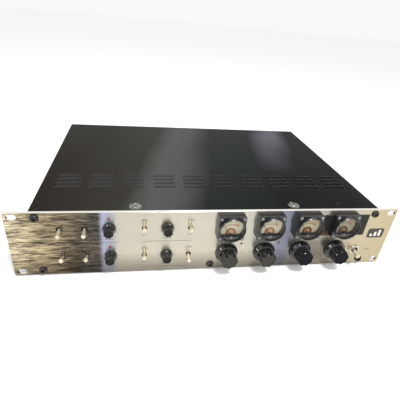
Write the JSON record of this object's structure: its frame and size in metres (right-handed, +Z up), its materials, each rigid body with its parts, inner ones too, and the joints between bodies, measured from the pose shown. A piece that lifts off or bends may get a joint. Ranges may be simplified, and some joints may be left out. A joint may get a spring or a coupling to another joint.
{
  "type": "rack compressor",
  "caption": "Two-unit rack audio compressor with level meters, skirted knobs, toggle switches, a brushed panel and a vented black case.",
  "frame": {"origin": "centre of the four rack slots, on the rear face of the front panel", "axes": "+X right seen from the front, +Y to the rear, +Z up"},
  "size_m": [0.4826, 0.3355, 0.0901],
  "materials": {
    "brushed_panel": "horizontal brushed, champagne tint, lightly stained",
    "black_case": "satin black paint over steel sheet",
    "tray_steel": "satin black paint over steel sheet",
    "black_screw": "black oxide",
    "worn_screw": "zinc plated, worn",
    "foot_rubber": "matte",
    "black_knob": "glossy, satin face",
    "steel_shaft": "turned",
    "pot_case": "dull plated",
    "nickel_nut": "nickel plated",
    "lever_metal": "polished",
    "switch_case": "matte",
    "power_case": "matte with a plated bushing",
    "meter_bezel": "glossy",
    "meter_glass": "clear",
    "dial_paper": "cream, printed scale",
    "meter_mask": "satin",
    "meter_can": "dull",
    "meter_screw": "blackened",
    "needle_black": "painted",
    "led_red": "tinted, unlit",
    "board_green": "solder mask",
    "standoff_brass": "turned",
    "ribbon_grey": "satin",
    "capacitor_sleeve": "sleeved can",
    "socket_ceramic": "unglazed",
    "tube_glass": "clear",
    "tube_metal": "darkened nickel",
    "winding": "wound, taped",
    "clamp_steel": "zinc plated",
    "wire_sleeve": "pvc sleeve",
    "inlet_plastic": "matte",
    "connector_metal": "black chromate",
    "latch_metal": "satin",
    "jack_plastic": "matte"
  },
  "bodies": {
    "unit": {"front_panel": "brushed_panel", "chassis_tray": "tray_steel", "top_cover": "black_case", "panel_screws": "black_screw", "case_screws": "worn_screw", "rubber_feet": "foot_rubber", "pot_bodies": "pot_case", "bushing_nuts": "nickel_nut", "toggle_housings": "switch_case", "power_switch_body": "power_case", "meter_bezels": "meter_bezel", "meter_lenses": "meter_glass", "meter_dials": "dial_paper", "meter_covers": "meter_mask", "meter_cans": "meter_can", "meter_screws": "meter_screw", "status_leds": "led_red", "main_board": "board_green", "control_board": "board_green", "board_standoffs": "standoff_brass", "ribbon_cable": "ribbon_grey", "filter_capacitors": "capacitor_sleeve", "tube_sockets": "socket_ceramic", "tube_envelopes": "tube_glass", "tube_electrodes": "tube_metal", "mains_transformer": "winding", "transformer_clamp": "clamp_steel", "mains_wiring": "wire_sleeve", "mains_inlet": "inlet_plastic", "xlr_sockets": "connector_metal", "xlr_plugs": "connector_metal", "jack_sockets": "jack_plastic"},
    "level_control_1": {"level_knob_1": "black_knob", "level_shaft_1": "steel_shaft"},
    "level_control_2": {"level_knob_2": "black_knob", "level_shaft_2": "steel_shaft"},
    "level_control_3": {"level_knob_3": "black_knob", "level_shaft_3": "steel_shaft"},
    "level_control_4": {"level_knob_4": "black_knob", "level_shaft_4": "steel_shaft"},
    "trim_control_1": {"trim_knob_1": "black_knob"},
    "trim_control_2": {"trim_knob_2": "black_knob"},
    "trim_control_3": {"trim_knob_3": "black_knob"},
    "trim_control_4": {"trim_knob_4": "black_knob"},
    "toggle_1": {"toggle_lever_1": "lever_metal"},
    "toggle_2": {"toggle_lever_2": "lever_metal"},
    "toggle_3": {"toggle_lever_3": "lever_metal"},
    "toggle_4": {"toggle_lever_4": "lever_metal"},
    "toggle_5": {"toggle_lever_5": "lever_metal"},
    "toggle_6": {"toggle_lever_6": "lever_metal"},
    "toggle_7": {"toggle_lever_7": "lever_metal"},
    "toggle_8": {"toggle_lever_8": "lever_metal"},
    "power_toggle": {"power_lever": "lever_metal"},
    "needle_1": {"meter_needle_1": "needle_black"},
    "needle_2": {"meter_needle_2": "needle_black"},
    "needle_3": {"meter_needle_3": "needle_black"},
    "needle_4": {"meter_needle_4": "needle_black"},
    "latch_1": {"xlr_latch_1": "latch_metal"},
    "latch_2": {"xlr_latch_2": "latch_metal"},
    "fuse": {"fuse_drawer": "inlet_plastic"}
  },
  "joints": [
    {"name": "level_turn_1", "type": "hinge", "parent": "unit", "child": "level_control_1", "pos_m": [0.015, -0.01, -0.019], "axis": [0, 1, 0], "range_deg": [-105, 195]},
    {"name": "level_turn_2", "type": "hinge", "parent": "unit", "child": "level_control_2", "pos_m": [0.0656, -0.01, -0.019], "axis": [0, 1, 0], "range_deg": [-90, 210]},
    {"name": "level_turn_3", "type": "hinge", "parent": "unit", "child": "level_control_3", "pos_m": [0.1162, -0.01, -0.019], "axis": [0, 1, 0], "range_deg": [-130, 170]},
    {"name": "level_turn_4", "type": "hinge", "parent": "unit", "child": "level_control_4", "pos_m": [0.1668, -0.01, -0.019], "axis": [0, 1, 0], "range_deg": [-185, 115]},
    {"name": "trim_turn_1", "type": "hinge", "parent": "unit", "child": "trim_control_1", "pos_m": [-0.13, -0.008, 0.021], "axis": [0, 1, 0], "range_deg": [-135, 165]},
    {"name": "trim_turn_2", "type": "hinge", "parent": "unit", "child": "trim_control_2", "pos_m": [-0.13, -0.008, -0.019], "axis": [0, 1, 0], "range_deg": [-80, 220]},
    {"name": "trim_turn_3", "type": "hinge", "parent": "unit", "child": "trim_control_3", "pos_m": [-0.0623, -0.008, 0.021], "axis": [0, 1, 0], "range_deg": [-170, 130]},
    {"name": "trim_turn_4", "type": "hinge", "parent": "unit", "child": "trim_control_4", "pos_m": [-0.0623, -0.008, -0.019], "axis": [0, 1, 0], "range_deg": [-150, 150]},
    {"name": "toggle_throw_1", "type": "hinge", "parent": "unit", "child": "toggle_1", "pos_m": [-0.185, 0.003, 0.021], "axis": [1, 0, 0], "range_deg": [-22, 0]},
    {"name": "toggle_throw_2", "type": "hinge", "parent": "unit", "child": "toggle_2", "pos_m": [-0.1575, 0.003, 0.021], "axis": [1, 0, 0], "range_deg": [-22, 0]},
    {"name": "toggle_throw_3", "type": "hinge", "parent": "unit", "child": "toggle_3", "pos_m": [-0.185, 0.003, -0.019], "axis": [1, 0, 0], "range_deg": [0, 22]},
    {"name": "toggle_throw_4", "type": "hinge", "parent": "unit", "child": "toggle_4", "pos_m": [-0.1575, 0.003, -0.019], "axis": [1, 0, 0], "range_deg": [0, 22]},
    {"name": "toggle_throw_5", "type": "hinge", "parent": "unit", "child": "toggle_5", "pos_m": [-0.0895, 0.003, 0.021], "axis": [1, 0, 0], "range_deg": [0, 22]},
    {"name": "toggle_throw_6", "type": "hinge", "parent": "unit", "child": "toggle_6", "pos_m": [-0.0895, 0.003, -0.019], "axis": [1, 0, 0], "range_deg": [0, 22]},
    {"name": "toggle_throw_7", "type": "hinge", "parent": "unit", "child": "toggle_7", "pos_m": [-0.0345, 0.003, 0.021], "axis": [1, 0, 0], "range_deg": [0, 22]},
    {"name": "toggle_throw_8", "type": "hinge", "parent": "unit", "child": "toggle_8", "pos_m": [-0.0345, 0.003, -0.019], "axis": [1, 0, 0], "range_deg": [-22, 0]},
    {"name": "power_throw", "type": "hinge", "parent": "unit", "child": "power_toggle", "pos_m": [0.197, 0.002, -0.02], "axis": [1, 0, 0], "range_deg": [-20, 0]},
    {"name": "needle_swing_1", "type": "hinge", "parent": "unit", "child": "needle_1", "pos_m": [0.015, -0.008, 0.0135], "axis": [0, 1, 0], "range_deg": [0, 80]},
    {"name": "needle_swing_2", "type": "hinge", "parent": "unit", "child": "needle_2", "pos_m": [0.0656, -0.008, 0.0135], "axis": [0, 1, 0], "range_deg": [0, 80]},
    {"name": "needle_swing_3", "type": "hinge", "parent": "unit", "child": "needle_3", "pos_m": [0.1162, -0.008, 0.0135], "axis": [0, 1, 0], "range_deg": [0, 80]},
    {"name": "needle_swing_4", "type": "hinge", "parent": "unit", "child": "needle_4", "pos_m": [0.1668, -0.008, 0.0135], "axis": [0, 1, 0], "range_deg": [0, 80]},
    {"name": "latch_press_1", "type": "slide", "parent": "unit", "child": "latch_1", "axis": [0, -1, 0], "range_m": [0, 0.0015]},
    {"name": "latch_press_2", "type": "slide", "parent": "unit", "child": "latch_2", "axis": [0, -1, 0], "range_m": [0, 0.0015]},
    {"name": "fuse_pull", "type": "slide", "parent": "unit", "child": "fuse", "axis": [0, 1, 0], "range_m": [0, 0.022]}
  ]
}
